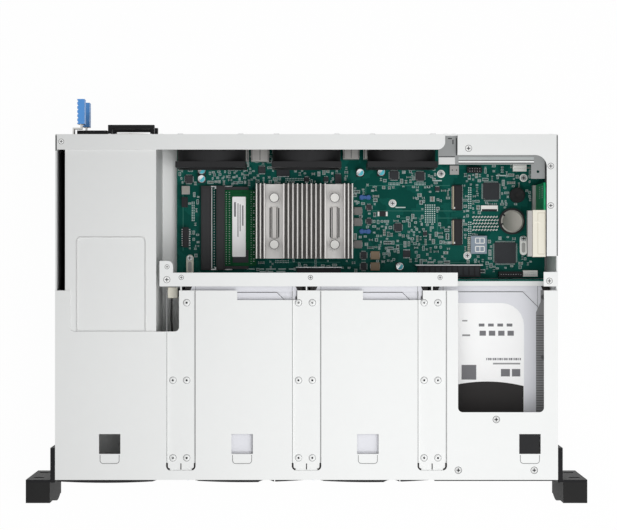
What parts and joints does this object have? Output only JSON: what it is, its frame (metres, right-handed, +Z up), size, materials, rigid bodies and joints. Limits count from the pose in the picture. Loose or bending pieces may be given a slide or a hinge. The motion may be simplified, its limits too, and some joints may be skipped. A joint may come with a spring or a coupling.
{
  "type": "rackmount storage server",
  "caption": "Rackmount network storage server, access cover off: sliding drive trays, hot-swap power supplies, rear fans, finned heatsink and an open mainboard.",
  "frame": {"origin": "middle of the base of the whole object's box", "axes": "+X to the right seen from the front, +Y to the rear with the supplies, +Z up"},
  "size_m": [0.4826, 0.351, 0.088],
  "materials": {
    "painted_steel": "fine satin powder coat",
    "bare_steel": "zinc plated",
    "dark_steel": "black satin paint",
    "grey_plastic": "fine moulded texture",
    "black_plastic": "moulded",
    "blue_plastic": "moulded",
    "drive_metal": "brushed and cast",
    "heatsink_metal": "extruded",
    "circuit_board": "solder mask",
    "chip_black": "moulded",
    "component_metal": "plated"
  },
  "bodies": {
    "chassis": {"chassis_tray": "painted_steel", "rear_panel": "painted_steel", "front_top_cover": "painted_steel", "rear_rails": "painted_steel", "crossbars": "painted_steel", "bay_cage": "painted_steel", "supply_cage": "painted_steel", "rail_studs": "bare_steel", "cover_screws": "bare_steel", "board_standoffs": "bare_steel", "rear_ports": "bare_steel", "ear_angles": "dark_steel", "ear_caps": "grey_plastic", "left_bezel": "black_plastic", "control_panel": "black_plastic", "fan_frames": "black_plastic", "board_sockets": "black_plastic", "heatsink_pins": "black_plastic", "board_indicators": "black_plastic", "heatsink": "heatsink_metal", "mainboard": "circuit_board", "backplane": "circuit_board", "power_board": "circuit_board", "memory_module": "circuit_board", "riser": "circuit_board", "board_chips": "chip_black", "power_components": "component_metal", "battery": "component_metal"},
    "upper_left_carrier": {"upper_left_tray": "black_plastic", "upper_left_drive": "drive_metal"},
    "upper_left_arm": {"upper_left_lever": "black_plastic"},
    "upper_left_release": {"upper_left_button": "black_plastic"},
    "upper_middle_carrier": {"upper_middle_tray": "black_plastic", "upper_middle_drive": "drive_metal"},
    "upper_middle_arm": {"upper_middle_lever": "black_plastic"},
    "upper_middle_release": {"upper_middle_button": "black_plastic"},
    "lower_left_carrier": {"lower_left_tray": "black_plastic", "lower_left_drive": "drive_metal"},
    "lower_left_arm": {"lower_left_lever": "black_plastic"},
    "lower_left_release": {"lower_left_button": "black_plastic"},
    "lower_middle_carrier": {"lower_middle_tray": "black_plastic", "lower_middle_drive": "drive_metal"},
    "lower_middle_arm": {"lower_middle_lever": "black_plastic"},
    "lower_middle_release": {"lower_middle_button": "black_plastic"},
    "lower_right_carrier": {"lower_right_tray": "black_plastic", "lower_right_drive": "drive_metal"},
    "lower_right_arm": {"lower_right_lever": "black_plastic"},
    "lower_right_release": {"lower_right_button": "black_plastic"},
    "upper_supply_module": {"upper_supply_case": "bare_steel", "upper_supply_fittings": "black_plastic"},
    "upper_supply_catch": {"upper_supply_latch": "blue_plastic"},
    "upper_supply_spinner": {"upper_supply_fan": "black_plastic"},
    "lower_supply_module": {"lower_supply_case": "bare_steel", "lower_supply_fittings": "black_plastic"},
    "lower_supply_catch": {"lower_supply_latch": "blue_plastic"},
    "lower_supply_spinner": {"lower_supply_fan": "black_plastic"},
    "left_fan": {"left_fan_rotor": "black_plastic"},
    "middle_fan": {"middle_fan_rotor": "black_plastic"},
    "right_fan": {"right_fan_rotor": "black_plastic"},
    "power_switch": {"power_key": "black_plastic"}
  },
  "joints": [
    {"name": "upper_left_slide", "type": "slide", "parent": "chassis", "child": "upper_left_carrier", "axis": [0, -1, 0], "range_m": [0, 0.17]},
    {"name": "upper_left_swing", "type": "hinge", "parent": "upper_left_carrier", "child": "upper_left_arm", "pos_m": [-0.0947, -0.15005, 0.06455], "axis": [0, 0, -1], "range_deg": [0, 70]},
    {"name": "upper_left_push", "type": "slide", "parent": "upper_left_carrier", "child": "upper_left_release", "axis": [0, 1, 0], "range_m": [0, 0.0016], "stiffness_N_per_m": 500},
    {"name": "upper_middle_slide", "type": "slide", "parent": "chassis", "child": "upper_middle_carrier", "axis": [0, -1, 0], "range_m": [0, 0.17]},
    {"name": "upper_middle_swing", "type": "hinge", "parent": "upper_middle_carrier", "child": "upper_middle_arm", "pos_m": [0.0133, -0.15005, 0.06455], "axis": [0, 0, -1], "range_deg": [0, 70]},
    {"name": "upper_middle_push", "type": "slide", "parent": "upper_middle_carrier", "child": "upper_middle_release", "axis": [0, 1, 0], "range_m": [0, 0.0016], "stiffness_N_per_m": 500},
    {"name": "lower_left_slide", "type": "slide", "parent": "chassis", "child": "lower_left_carrier", "axis": [0, -1, 0], "range_m": [0, 0.17]},
    {"name": "lower_left_swing", "type": "hinge", "parent": "lower_left_carrier", "child": "lower_left_arm", "pos_m": [-0.0947, -0.15005, 0.02125], "axis": [0, 0, -1], "range_deg": [0, 70]},
    {"name": "lower_left_push", "type": "slide", "parent": "lower_left_carrier", "child": "lower_left_release", "axis": [0, 1, 0], "range_m": [0, 0.0016], "stiffness_N_per_m": 500},
    {"name": "lower_middle_slide", "type": "slide", "parent": "chassis", "child": "lower_middle_carrier", "axis": [0, -1, 0], "range_m": [0, 0.17]},
    {"name": "lower_middle_swing", "type": "hinge", "parent": "lower_middle_carrier", "child": "lower_middle_arm", "pos_m": [0.0133, -0.15005, 0.02125], "axis": [0, 0, -1], "range_deg": [0, 70]},
    {"name": "lower_middle_push", "type": "slide", "parent": "lower_middle_carrier", "child": "lower_middle_release", "axis": [0, 1, 0], "range_m": [0, 0.0016], "stiffness_N_per_m": 500},
    {"name": "lower_right_slide", "type": "slide", "parent": "chassis", "child": "lower_right_carrier", "axis": [0, -1, 0], "range_m": [0, 0.17]},
    {"name": "lower_right_swing", "type": "hinge", "parent": "lower_right_carrier", "child": "lower_right_arm", "pos_m": [0.1213, -0.15005, 0.02125], "axis": [0, 0, -1], "range_deg": [0, 70]},
    {"name": "lower_right_push", "type": "slide", "parent": "lower_right_carrier", "child": "lower_right_release", "axis": [0, 1, 0], "range_m": [0, 0.0016], "stiffness_N_per_m": 500},
    {"name": "upper_supply_slide", "type": "slide", "parent": "chassis", "child": "upper_supply_module", "axis": [0, 1, 0], "range_m": [0, 0.2]},
    {"name": "upper_supply_squeeze", "type": "hinge", "parent": "upper_supply_module", "child": "upper_supply_catch", "pos_m": [-0.20095, 0.14095, 0.077], "axis": [0, 0, -1], "range_deg": [0, 5], "stiffness_Nm_per_rad": 0.5},
    {"name": "upper_supply_spin", "type": "hinge", "parent": "upper_supply_module", "child": "upper_supply_spinner", "pos_m": [-0.15225, 0.13075, 0.0648], "axis": [0, 1, 0], "continuous": true},
    {"name": "lower_supply_slide", "type": "slide", "parent": "chassis", "child": "lower_supply_module", "axis": [0, 1, 0], "range_m": [0, 0.2]},
    {"name": "lower_supply_squeeze", "type": "hinge", "parent": "lower_supply_module", "child": "lower_supply_catch", "pos_m": [-0.20095, 0.14095, 0.0337], "axis": [0, 0, -1], "range_deg": [0, 5], "stiffness_Nm_per_rad": 0.5},
    {"name": "lower_supply_spin", "type": "hinge", "parent": "lower_supply_module", "child": "lower_supply_spinner", "pos_m": [-0.15225, 0.13075, 0.0215], "axis": [0, 1, 0], "continuous": true},
    {"name": "left_fan_spin", "type": "hinge", "parent": "chassis", "child": "left_fan", "pos_m": [-0.0828, 0.13045, 0.0558], "axis": [0, 1, 0], "continuous": true},
    {"name": "middle_fan_spin", "type": "hinge", "parent": "chassis", "child": "middle_fan", "pos_m": [0, 0.13045, 0.0558], "axis": [0, 1, 0], "continuous": true},
    {"name": "right_fan_spin", "type": "hinge", "parent": "chassis", "child": "right_fan", "pos_m": [0.0828, 0.13045, 0.0558], "axis": [0, 1, 0], "continuous": true},
    {"name": "power_push", "type": "slide", "parent": "chassis", "child": "power_switch", "axis": [0, 1, 0], "range_m": [0, 0.0012], "stiffness_N_per_m": 400}
  ]
}
